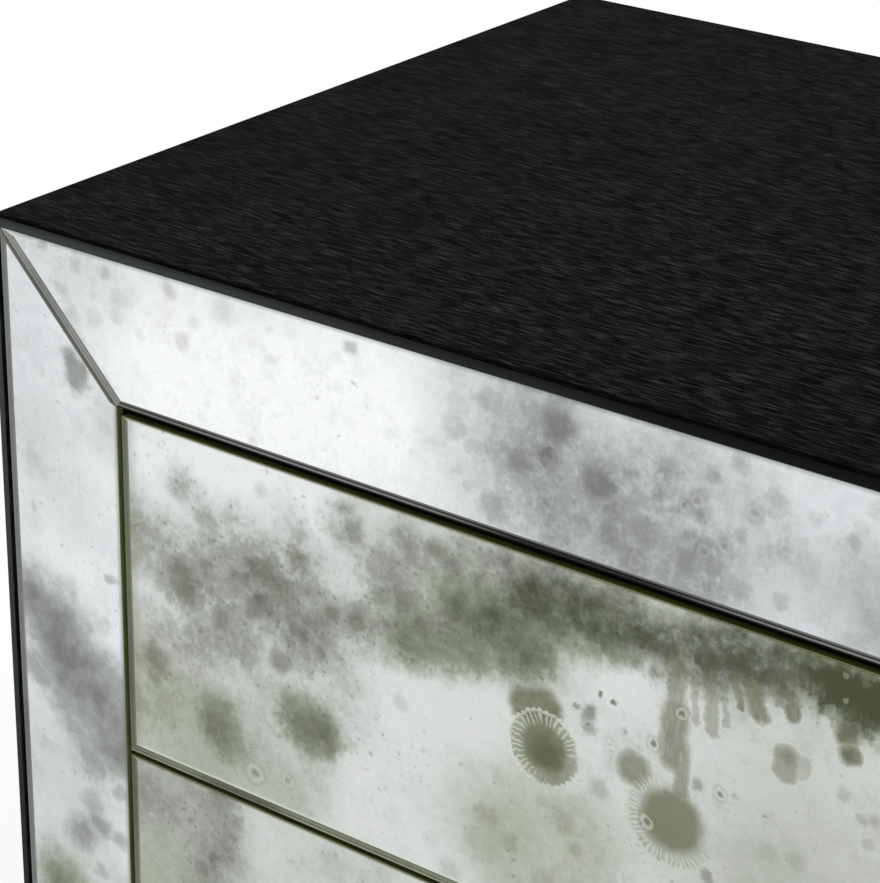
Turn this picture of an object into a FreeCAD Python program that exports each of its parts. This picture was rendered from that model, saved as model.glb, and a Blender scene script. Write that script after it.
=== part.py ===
"""Mirrored nightstand with three push-to-open drawers.

Lengths are in millimetres. X runs to the right, Y to the back and Z up.
The mirrors face -Y, and the origin is on the floor below the middle of the case.
"""
import FreeCAD, Part
import os
import re

import Sketcher

DRAWERS = (1, 2, 3)  # counted from the top
BALLS_PER_ROW = 4

# Driving sizes: name, value and meaning. They go into the sheet of the document.
SIZES = {
    "case_width": (660, "overall width"),
    "case_depth": (458, "overall depth, mirror face to back edge"),
    "base_height": (60, "floor to the underside of the case"),
    "panel_thickness": (20, "top, sides and bottom"),
    "lip_height": (4.3, "lip that shows above and below the mirror frame"),
    "side_lip": (3.3, "lip that shows beside the mirror frame"),
    "side_shadow": (1.7, "dark gap between side lip and glass"),
    "seat_gap": (0.3, "hairline between glass and top or bottom lip"),
    "stile_width": (63, "width of the left and right frame mirrors"),
    "rail_height": (65, "height of the top and bottom frame mirrors"),
    "mitre_gap": (0.4, "gap in each mitre of the frame mirrors"),
    "head_gap": (3.7, "gap between top rail and first drawer"),
    "drawer_gap": (2.6, "gap round the drawer mirrors elsewhere"),
    "drawer_height": (162.5, "height of a drawer mirror"),
    "glass_thickness": (5, "all mirrors"),
    "bevel_width": (3.5, "bevel on the face of each mirror"),
    "bevel_depth": (0.6, "drop of that bevel"),
    "backer_thickness": (18, "face frame and drawer front panels behind the glass"),
    "backer_setback": (0.5, "how far the boards stay behind the glass edge"),
    "back_thickness": (9, "back panel"),
    "back_recess": (2, "back panel below the rear edge of the case"),
    "back_lap": (10, "how far the back panel laps on to each rebate"),
    "plinth_board": (18, "thickness of the plinth rails"),
    "plinth_setback": (40, "plinth behind the front of the case"),
    "plinth_inset": (30, "plinth inside the sides and the back of the case"),
    "block_width": (40, "corner blocks of the plinth"),
    "glide_height": (4, "floor glides"),
    "glide_width": (30, "diameter of the floor glides"),
    "glide_nail": (5, "diameter of the nail of a glide"),
    "post_width": (40, "posts that carry the runners"),
    "divider_thickness": (18, "rails between the drawers"),
    "divider_depth": (60, "front to back size of those rails"),
    "runner_height": (45, "tallest member of a runner"),
    "runner_space": (13, "room for a runner beside the drawer box"),
    "runner_setback": (5, "runner behind the drawer front panel"),
    "runner_rise": (50, "middle of a runner above the lower edge of the box"),
    "steel_thickness": (1.2, "sheet of the runner members"),
    "ball_width": (3.1, "diameter of the bearing balls"),
    "ball_play": (0.3, "running gap on each side of a ball"),
    "cage_sheet": (0.8, "sheet of the ball cages"),
    "cage_length": (150, "ball cages"),
    "cage_gap": (0.6, "running gap beside a ball cage"),
    "cage_play": (0.1, "gap between a ball and its hole in the cage"),
    "box_board": (12, "front, sides and back of a drawer box"),
    "box_height": (122, "height of a drawer box"),
    "box_rise": (14, "drawer box above the lower edge of its mirror"),
    "box_floor": (6, "bottom of a drawer box"),
    "floor_rise": (10, "bottom above the lower edge of its box"),
    "groove_depth": (6, "groove that holds the bottom of a drawer box"),
    "latch_reach": (18, "drawer back to the face of the latch"),
    "latch_length": (51, "latch housing, face to back panel"),
    "latch_width": (16, "diameter of a latch housing"),
    "latch_flange": (4, "thickness of the flange of a latch housing"),
    "plunger_width": (8, "diameter of a latch plunger"),
    "plunger_tip": (12, "diameter of the pad on a latch plunger"),
    "plunger_hold": (36, "length of plunger inside the housing when closed"),
    "plunger_play": (0.08, "running gap round a latch plunger"),
    "press_travel": (2, "inward press that trips a latch"),
    "touch_gap": (0.3, "gap that is left between plunger and drawer when pressed"),
    "screw_width": (4, "diameter of the screws"),
    "screw_head": (8, "diameter of the screw heads"),
    "head_height": (1.6, "height of the screw heads"),
    "screw_grip": (11, "length of a screw in the board that it holds to"),
}

# Places that follow from the driving sizes.
PLACES = {
    "half_width": "case_width / 2",
    "front": "-case_depth / 2",
    "rear": "case_depth / 2",
    "glass_back": "front + glass_thickness",
    "backer_back": "glass_back + backer_thickness",
    "case_inside": "half_width - panel_thickness",
    "glass_side": "half_width - side_lip - side_shadow",
    "opening_side": "glass_side - stile_width",
    "backer_side": "opening_side + backer_setback",
    "glass_bottom": "base_height + lip_height + seat_gap",
    "opening_bottom": "glass_bottom + rail_height",
    "drawer_step": "drawer_height + drawer_gap",
    "opening_top": f"opening_bottom + {len(DRAWERS)} * drawer_step + head_gap",
    "glass_top": "opening_top + rail_height",
    "case_top": "glass_top + seat_gap + lip_height",
    "case_ceiling": "case_top - panel_thickness",
    "case_floor": "base_height + panel_thickness",
    "back_face": "rear - back_recess",
    "back_front": "back_face - back_thickness",
    "plinth_side": "half_width - plinth_inset",
    "plinth_front": "front + plinth_setback",
    "plinth_rear": "rear - plinth_inset",
    "runner_front": "backer_back + runner_setback",
    "runner_rear": "back_front - latch_length - latch_reach",
    "box_side": "backer_side - runner_space",
    "ball_row": "ball_width + 2 * ball_play",
    "case_half": "runner_height / 2",
    "middle_half": "case_half - steel_thickness - ball_row",
    "drawer_half": "middle_half - steel_thickness - ball_row",
    "case_tip": "runner_space - steel_thickness - 2 * cage_gap",
    "case_cage_web": "steel_thickness + 2 * cage_gap",
    "middle_web": "case_cage_web + cage_sheet + 2 * cage_gap",
    "middle_tip": "runner_space - steel_thickness - cage_gap",
    "drawer_cage_web": "middle_web + steel_thickness + cage_gap",
    "drawer_tip": "drawer_cage_web + cage_sheet + cage_gap",
    "drawer_web": "runner_space - steel_thickness",
    "cage_front": "(runner_front + runner_rear - cage_length) / 2",
    "latch_face": "runner_rear + latch_reach",
    "plunger_front": "runner_rear + press_travel + touch_gap",
}

doc = FreeCAD.newDocument("nightstand")
sheet = doc.addObject("Spreadsheet::Sheet", "Sizes")
for row, (alias, (value, meaning)) in enumerate(SIZES.items(), start=1):
    sheet.set(f"A{row}", meaning)
    sheet.set(f"B{row}", str(value))
    sheet.setAlias(f"B{row}", alias)
doc.recompute()

nodes = []


def formula(text):
    """Give an expression in which every name of a size or place is spelled out in sheet cells."""
    def spell(match):
        word = match.group(0)
        if word in PLACES:
            return "(" + formula(PLACES[word]) + ")"
        if word not in SIZES:
            raise ValueError("unknown size " + word)
        return "Sizes." + word
    return re.sub(r"[a-z_]+", spell, text)


def bind(item, **values):
    """Bind properties of an item to formulas; at_x, at_y and at_z set its place."""
    for key, text in values.items():
        path = "Placement.Base." + key[-1] if key.startswith("at_") else key
        item.setExpression(path, formula(text))
    return item


def board(name, x, y, z):
    """Make a rectangular piece from its low and high ends along each axis."""
    return bind(
        doc.addObject("Part::Box", name),
        Length=f"({x[1]}) - ({x[0]})",
        Width=f"({y[1]}) - ({y[0]})",
        Height=f"({z[1]}) - ({z[0]})",
        at_x=x[0],
        at_y=y[0],
        at_z=z[0],
    )


def upright(name, width, x, y, z):
    """Make a round bar along Z."""
    bar = doc.addObject("Part::Cylinder", name)
    return bind(bar, Radius=f"({width}) / 2", Height=f"({z[1]}) - ({z[0]})", at_x=x, at_y=y, at_z=z[0])


def rod(name, width, x, y, z):
    """Make a round bar along Y."""
    bar = doc.addObject("Part::Cylinder", name)
    bar.Placement.Rotation = FreeCAD.Rotation(FreeCAD.Vector(1, 0, 0), -90)
    return bind(bar, Radius=f"({width}) / 2", Height=f"({y[1]}) - ({y[0]})", at_x=x, at_y=y[0], at_z=z)


def join(name, pieces):
    fused = doc.addObject("Part::MultiFuse", name)
    fused.Shapes = pieces
    return fused


def cut(name, base, tools):
    result = doc.addObject("Part::Cut", name)
    result.Base = base
    result.Tool = tools[0] if len(tools) == 1 else join(name + "_tools", tools)
    return result


def group(name, pieces):
    bundle = doc.addObject("Part::Compound", name)
    bundle.Links = pieces
    return bundle


def mirrored(name, source):
    """Make the right-hand twin of a left-hand piece."""
    twin = doc.addObject("Part::Mirroring", name)
    twin.Source = source
    twin.Normal = FreeCAD.Vector(1, 0, 0)
    return twin


def keep(item, node):
    """Name a finished piece, which is then written as a node."""
    item.Label = node
    nodes.append(item)
    return item


def pane(node, outer, inner, height, x, z, turn):
    """Make a bevelled mirror.

    Its outer edge is centred on x, z and the pane hangs below that edge by height, before the
    pane is turned about Y by turn degrees. The inner edge is the parallel one.
    """
    body = doc.addObject("PartDesign::Body", node)
    sketch = body.newObject("Sketcher::SketchObject", node + "_outline")
    plane = next(item for item in body.Origin.OriginFeatures if item.Role == "XZ_Plane")
    sketch.AttachmentSupport = [(plane, "")]
    sketch.MapMode = "FlatFace"
    corners = [(-200, 0), (200, 0), (150, -60), (-150, -60)]
    for start, end in zip(corners, corners[1:] + corners[:1]):
        sketch.addGeometry(Part.LineSegment(FreeCAD.Vector(*start, 0), FreeCAD.Vector(*end, 0)))
    for side in range(4):
        sketch.addConstraint(Sketcher.Constraint("Coincident", side, 2, (side + 1) % 4, 1))
    sketch.addConstraint(Sketcher.Constraint("Symmetric", 0, 1, 0, 2, -1, 1))
    sketch.addConstraint(Sketcher.Constraint("Horizontal", 0))
    sketch.addConstraint(Sketcher.Constraint("Symmetric", 2, 1, 2, 2, -2))
    for label, kind, first, last in (
        ("outer", "DistanceX", (0, 1), (0, 2)),
        ("inner", "DistanceX", (2, 2), (2, 1)),
        ("height", "DistanceY", (2, 1), (0, 2)),
    ):
        spot = sketch.addConstraint(Sketcher.Constraint(kind, *first, *last, 100))
        sketch.renameConstraint(spot, label)
    bind(sketch, **{"Constraints.outer": outer, "Constraints.inner": inner, "Constraints.height": height})
    pad = body.newObject("PartDesign::Pad", node + "_glass")
    pad.Profile = sketch
    bind(pad, Length="glass_thickness")
    doc.recompute()
    face = min(range(len(pad.Shape.Faces)), key=lambda place: pad.Shape.Faces[place].CenterOfMass.y)
    bevel = body.newObject("PartDesign::Chamfer", node + "_bevel")
    bevel.Base = (pad, [f"Face{face + 1}"])
    bevel.ChamferType = "Two distances"
    bind(bevel, Size="bevel_depth", Size2="bevel_width")
    body.Tip = bevel
    body.Placement.Rotation = FreeCAD.Rotation(FreeCAD.Vector(0, 1, 0), turn)
    bind(body, at_x=x, at_y="glass_back", at_z=z)
    return keep(body, node)


def screw(name, x, seat, z, grip):
    """Make a pan-head screw along Y whose head sits on the plane seat and points to the back."""
    top = f"{seat} + head_height"
    shank = rod(name + "_shank", "screw_width", x, (f"{seat} - ({grip})", seat), z)
    head = rod(name + "_head", "screw_head", x, (seat, top), z)
    depth = (f"{top} - head_height / 2", top)
    long_arm, short_arm = "screw_width / 2", "screw_width / 8"
    slots = []
    for label, wide, tall in (("across", long_arm, short_arm), ("upright", short_arm, long_arm)):
        slots.append(board(
            f"{name}_slot_{label}",
            (f"{x} - {wide}", f"{x} + {wide}"),
            depth,
            (f"{z} - {tall}", f"{z} + {tall}"),
        ))
    return cut(name, join(name + "_blank", [shank, head]), slots)


def channel(name, low, high, core, half, y, z):
    """Make a left-hand sheet channel; low, high and core count from the post towards the drawer."""
    edge = f"{half} - steel_thickness"
    blank = board(
        name + "_blank",
        (f"{low} - backer_side", f"{high} - backer_side"),
        y,
        (f"{z} - ({half})", f"{z} + ({half})"),
    )
    hollow = board(
        name + "_hollow",
        (f"{core[0]} - backer_side", f"{core[1]} - backer_side"),
        y,
        (f"{z} - ({edge})", f"{z} + ({edge})"),
    )
    return cut(name, blank, [hollow])


def ball_cage(name, web, tip, row, ball_place, z):
    """Make a left-hand ball cage with its balls; row is the height of the balls above z."""
    y = ("cage_front", "cage_front + cage_length")
    outer = f"{row} + cage_sheet / 2"
    inner = f"{row} - cage_sheet / 2"
    blank = board(
        name + "_blank",
        (f"{web} - backer_side", f"{tip} - backer_side"),
        y,
        (f"{z} - ({outer})", f"{z} + ({outer})"),
    )
    tools = [board(
        name + "_hollow",
        (f"{web} + cage_sheet - backer_side", f"{tip} - backer_side"),
        y,
        (f"{z} - ({inner})", f"{z} + ({inner})"),
    )]
    balls = []
    x = f"({ball_place}) - backer_side"
    for count in range(BALLS_PER_ROW):
        along = f"cage_front + cage_length * {(count + 0.5) / BALLS_PER_ROW}"
        reach = f"{row} + cage_sheet"
        span = (f"{z} - ({reach})", f"{z} + ({reach})")
        tools.append(upright(f"{name}_hole", "ball_width + 2 * cage_play", x, along, span))
        for sign in ("-", "+"):
            ball = doc.addObject("Part::Sphere", name + "_ball")
            balls.append(bind(ball, Radius="ball_width / 2", at_x=x, at_y=along, at_z=f"{z} {sign} ({row})"))
    return [cut(name, blank, tools)] + balls


def both_sides(node, pieces):
    """Write left-hand pieces and their right-hand twins as one node."""
    twins = [mirrored(piece.Name + "_twin", piece) for piece in pieces]
    return keep(group(node, pieces + twins), node)


def build_case():
    """Make the boards of the case."""
    blank = board("top_blank", ("-half_width", "half_width"), ("front", "rear"), ("case_ceiling", "case_top"))
    glass_seat = board(
        "top_glass_seat",
        ("side_lip - half_width", "half_width - side_lip"),
        ("front", "glass_back"),
        ("case_ceiling", "case_top - lip_height"),
    )
    back_seat = board(
        "top_back_seat",
        ("-case_inside - back_lap", "case_inside + back_lap"),
        ("back_front", "rear"),
        ("case_ceiling", "case_ceiling + back_lap"),
    )
    keep(cut("top", blank, [glass_seat, back_seat]), "top_panel")

    blank = board("side_blank", ("-half_width", "-case_inside"), ("front", "rear"), ("base_height", "case_ceiling"))
    glass_seat = board(
        "side_glass_seat",
        ("side_lip - half_width", "-case_inside"),
        ("front", "glass_back"),
        ("base_height + lip_height", "case_ceiling"),
    )
    back_seat = board(
        "side_back_seat",
        ("-case_inside - back_lap", "-case_inside"),
        ("back_front", "rear"),
        ("case_floor - back_lap", "case_ceiling"),
    )
    left = keep(cut("left_side", blank, [glass_seat, back_seat]), "left_side_panel")
    keep(mirrored("right_side", left), "right_side_panel")

    inside = ("-case_inside", "case_inside")
    blank = board("bottom_blank", inside, ("front", "rear"), ("base_height", "case_floor"))
    glass_seat = board(
        "bottom_glass_seat", inside, ("front", "glass_back"), ("base_height + lip_height", "case_floor")
    )
    back_seat = board("bottom_back_seat", inside, ("back_front", "rear"), ("case_floor - back_lap", "case_floor"))
    keep(cut("bottom", blank, [glass_seat, back_seat]), "bottom_panel")

    back = board(
        "back",
        ("-case_inside - back_lap", "case_inside + back_lap"),
        ("back_front", "back_face"),
        ("case_floor - back_lap", "case_ceiling + back_lap"),
    )
    keep(back, "back_panel")


def build_mirror_frame():
    """Make the face frame and the four mitred mirrors that cover it."""
    deep = ("glass_back", "backer_back")
    between = ("-backer_side", "backer_side")
    keep(
        board("frame_top", between, deep, ("opening_top + backer_setback", "case_ceiling")), "face_frame_top_rail"
    )
    keep(
        board("frame_bottom", between, deep, ("case_floor", "opening_bottom - backer_setback")),
        "face_frame_bottom_rail",
    )
    stile = board("frame_left", ("-case_inside", "-backer_side"), deep, ("case_floor", "case_ceiling"))
    keep(stile, "face_frame_left_stile")
    keep(mirrored("frame_right", stile), "face_frame_right_stile")

    across = ("2 * glass_side - mitre_gap", "2 * opening_side - mitre_gap")
    tall = ("glass_top - glass_bottom - mitre_gap", "opening_top - opening_bottom - mitre_gap")
    middle = "(glass_bottom + glass_top) / 2"
    pane("top_rail_mirror", *across, "rail_height", "0", "glass_top", 0)
    pane("bottom_rail_mirror", *across, "rail_height", "0", "glass_bottom", 180)
    pane("left_stile_mirror", *tall, "stile_width", "-glass_side", middle, -90)
    pane("right_stile_mirror", *tall, "stile_width", "glass_side", middle, 90)


def build_plinth():
    """Make the recessed plinth with its corner blocks and glides."""
    tall = ("glide_height", "base_height")
    wide = ("-plinth_side", "plinth_side")
    front_rail = board("plinth_front_rail", wide, ("plinth_front", "plinth_front + plinth_board"), tall)
    rear_rail = board("plinth_rear_rail", wide, ("plinth_rear - plinth_board", "plinth_rear"), tall)
    keep(group("plinth_long", [front_rail, rear_rail]), "plinth_long_rails")
    between = ("plinth_front + plinth_board", "plinth_rear - plinth_board")
    both_sides("plinth_short_rails", [
        board("plinth_side_rail", ("-plinth_side", "plinth_board - plinth_side"), between, tall)
    ])

    blocks = []
    glides = []
    x = ("plinth_board - plinth_side", "plinth_board + block_width - plinth_side")
    for label, near in (("front", between[0]), ("rear", f"{between[1]} - block_width")):
        blocks.append(board(f"block_{label}", x, (near, f"{near} + block_width"), tall))
        spot = (f"{x[0]} + block_width / 2", f"{near} + block_width / 2")
        rim = "glide_height / 2"
        foot = doc.addObject("Part::Cone", f"glide_{label}_foot")
        bind(
            foot,
            Radius1=f"(glide_width - {rim}) / 2",
            Radius2="glide_width / 2",
            Height=rim,
            at_x=spot[0],
            at_y=spot[1],
            at_z="0",
        )
        disc = upright(f"glide_{label}_disc", "glide_width", *spot, (rim, "glide_height"))
        nail = upright(f"glide_{label}_nail", "glide_nail", *spot, ("glide_height", "5 * glide_height"))
        glides.append(join(f"glide_{label}", [foot, disc, nail]))
    both_sides("plinth_corner_blocks", blocks)
    both_sides("floor_glides", glides)


def build_inside():
    """Make the posts, dividers, latch housings and back screws inside the case."""
    posts = []
    for label, near in (
        ("front", "backer_back"),
        ("middle", "(runner_front + runner_rear - post_width) / 2"),
        ("rear", "runner_rear - post_width"),
    ):
        posts.append(board(
            f"post_{label}",
            ("-case_inside", "-backer_side"),
            (near, f"{near} + post_width"),
            ("case_floor", "case_ceiling"),
        ))
    both_sides("runner_posts", posts)

    dividers = []
    for drawer in DRAWERS[:-1]:
        low = f"{front_low(drawer)} - drawer_gap / 2 - divider_thickness / 2"
        dividers.append(board(
            f"divider_{drawer}",
            ("-backer_side", "backer_side"),
            ("runner_front", "runner_front + divider_depth"),
            (low, f"{low} + divider_thickness"),
        ))
    keep(group("dividers", dividers), "divider_rails")

    housings = []
    for drawer in DRAWERS:
        z = latch_height(drawer)
        barrel = rod(f"latch_{drawer}_barrel", "latch_width", "0", ("latch_face", "back_front"), z)
        flange = board(
            f"latch_{drawer}_flange",
            ("-latch_width", "latch_width"),
            ("back_front - latch_flange", "back_front"),
            (f"{z} - latch_width", f"{z} + latch_width"),
        )
        bore = rod(
            f"latch_{drawer}_bore",
            "plunger_width + 2 * plunger_play",
            "0",
            ("latch_face", "latch_face + plunger_hold + latch_flange"),
            z,
        )
        housings.append(cut(f"latch_{drawer}", join(f"latch_{drawer}_blank", [barrel, flange]), [bore]))
    keep(group("latches", housings), "latch_housings")

    grip = "back_thickness + screw_grip"
    edge = "case_inside + back_lap / 2"
    height = "case_ceiling - case_floor"
    screws = []
    for count in (0.06, 0.35, 0.65, 0.94):
        spot = f"case_floor + ({height}) * {count}"
        for sign in ("-", "+"):
            screws.append(screw("back_side_screw", f"({sign}1) * ({edge})", "back_face", f"({spot})", grip))
    for label, z in (("low", "(case_floor - back_lap / 2)"), ("high", "(case_ceiling + back_lap / 2)")):
        for count in (-0.6, 0, 0.6):
            screws.append(screw(f"back_{label}_screw", f"case_inside * ({count})", "back_face", z, grip))
    keep(group("back_screws", screws), "back_panel_screws")


def front_low(drawer):
    """Lower edge of the mirror of a drawer."""
    return f"(opening_bottom + drawer_gap + {DRAWERS[-1] - drawer} * drawer_step)"


def latch_height(drawer):
    return f"({front_low(drawer)} + box_rise + box_height / 2)"


def build_drawer(drawer):
    """Make one drawer with its mirror, box, runners and latch plunger."""
    name = f"drawer_{drawer}"
    low = front_low(drawer)
    width = "2 * (opening_side - drawer_gap)"
    pane(f"{name}_mirror", width, width, "drawer_height", "0", f"{low} + drawer_height", 0)
    panel_side = "(opening_side - drawer_gap - backer_setback)"
    panel = board(
        f"{name}_panel",
        (f"-{panel_side}", panel_side),
        ("glass_back", "backer_back"),
        (f"{low} + backer_setback", f"{low} + drawer_height - backer_setback"),
    )
    keep(panel, f"{name}_front_panel")

    base = f"({low} + box_rise)"
    tall = (base, f"{base} + box_height")
    inner = "(box_side - box_board)"
    floor_side = f"({inner} + groove_depth)"
    floor_ends = ("backer_back + box_board - groove_depth", "runner_rear - box_board + groove_depth")
    floor_tall = (f"{base} + floor_rise", f"{base} + floor_rise + box_floor")

    def floor(label):
        return board(f"{name}_{label}", (f"-{floor_side}", floor_side), floor_ends, floor_tall)

    side = board(f"{name}_side_blank", ("-box_side", f"-{inner}"), ("backer_back", "runner_rear"), tall)
    both_sides(f"{name}_box_sides", [cut(f"{name}_side", side, [floor("side_groove")])])
    between = (f"-{inner}", inner)
    ends = {
        "front": ("backer_back", "backer_back + box_board"),
        "back": ("runner_rear - box_board", "runner_rear"),
    }
    for label, deep in ends.items():
        end = board(f"{name}_{label}_blank", between, deep, tall)
        keep(cut(f"{name}_{label}", end, [floor(f"{label}_groove")]), f"{name}_box_{label}")
    keep(floor("floor"), f"{name}_box_bottom")

    screws = []
    for across in (-0.75, 0.75):
        for up in (0.3, 0.75):
            screws.append(screw(
                f"{name}_screw",
                f"{inner} * ({across})",
                "(backer_back + box_board)",
                f"({base} + box_height * {up})",
                "box_board + screw_grip",
            ))
    keep(group(f"{name}_screws", screws), f"{name}_front_screws")

    z = f"({base} + runner_rise)"
    y = ("runner_front", "runner_rear")
    both_sides(f"{name}_case_runners", [
        channel(f"{name}_case_runner", "0", "case_tip", ("steel_thickness", "case_tip"), "case_half", y, z)
    ])
    both_sides(f"{name}_middle_runners", [channel(
        f"{name}_middle_runner",
        "middle_web",
        "middle_tip",
        ("middle_web + steel_thickness", "middle_tip"),
        "middle_half",
        y,
        z,
    )])
    both_sides(f"{name}_box_runners", [
        channel(f"{name}_box_runner", "drawer_tip", "runner_space", ("drawer_tip", "drawer_web"), "drawer_half", y, z)
    ])
    both_sides(f"{name}_case_ball_cages", ball_cage(
        f"{name}_case_cage",
        "case_cage_web",
        "case_tip",
        "(case_half - steel_thickness - ball_row / 2)",
        "(middle_web + case_tip) / 2",
        z,
    ))
    both_sides(f"{name}_box_ball_cages", ball_cage(
        f"{name}_box_cage",
        "drawer_cage_web",
        "middle_tip",
        "(middle_half - steel_thickness - ball_row / 2)",
        "(drawer_tip + middle_tip) / 2",
        z,
    ))

    z = latch_height(drawer)
    tip_rear = "(plunger_front + plunger_tip / 3)"
    tip = rod(f"{name}_plunger_pad", "plunger_tip", "0", ("plunger_front", tip_rear), z)
    shaft = rod(f"{name}_plunger_shaft", "plunger_width", "0", (tip_rear, "latch_face + plunger_hold"), z)
    keep(join(f"{name}_plunger", [tip, shaft]), f"{name}_latch_plunger")


build_case()
build_mirror_frame()
build_plinth()
build_inside()
for number in DRAWERS:
    build_drawer(number)
doc.recompute()

for item in doc.Objects:
    if "Invalid" in item.State or "Error" in item.State:
        raise RuntimeError(f"{item.Label} did not compute: {item.State}")
os.makedirs("parts", exist_ok=True)
for item in nodes:
    if item.Shape.isNull() or not item.Shape.isValid():
        raise RuntimeError(f"{item.Label} has no valid shape")
    item.Shape.exportStep(f"parts/{item.Label}.step")
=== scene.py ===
"""Looks of a mirrored nightstand: brushed black oak case, antiqued bevelled mirrors, three drawers."""

import math

import bmesh
import bpy
from mathutils import Matrix, Vector


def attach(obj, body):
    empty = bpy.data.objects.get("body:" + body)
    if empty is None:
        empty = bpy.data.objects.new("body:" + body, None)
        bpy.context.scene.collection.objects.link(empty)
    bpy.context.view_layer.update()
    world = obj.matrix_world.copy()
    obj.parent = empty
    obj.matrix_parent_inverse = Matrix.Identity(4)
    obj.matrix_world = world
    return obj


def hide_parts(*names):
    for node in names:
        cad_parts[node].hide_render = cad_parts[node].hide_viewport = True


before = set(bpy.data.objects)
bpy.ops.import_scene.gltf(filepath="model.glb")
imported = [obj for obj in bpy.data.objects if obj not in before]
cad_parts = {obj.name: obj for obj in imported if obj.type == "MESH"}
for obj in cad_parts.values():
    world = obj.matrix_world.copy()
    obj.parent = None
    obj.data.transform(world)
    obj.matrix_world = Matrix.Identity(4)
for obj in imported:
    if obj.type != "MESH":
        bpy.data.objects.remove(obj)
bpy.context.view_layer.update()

# Pattern sizes and places on the panes are in millimetres of the part's frame, which is in metres.
MM = 1000.0
SAME_PLACE = 1e-5
STRAIGHT = 0.99
FRONT = -229.0
TOP = 698.2
GLASS_BACK = -224.0
BEVEL_DEPTH = 0.6
ARRIS = 0.35
BEVEL_STEPS = 4


def tone(red, green, blue):
    """A colour given in screen values from 0 to 255, as the linear colour that nodes use."""
    screen = [value / 255 for value in (red, green, blue)]
    linear = [v / 12.92 if v <= 0.04045 else ((v + 0.055) / 1.055) ** 2.4 for v in screen]
    return (*linear, 1.0)


def add_object(name, data):
    made = bpy.data.objects.new(name, data)
    bpy.context.scene.collection.objects.link(made)
    return made


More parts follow.
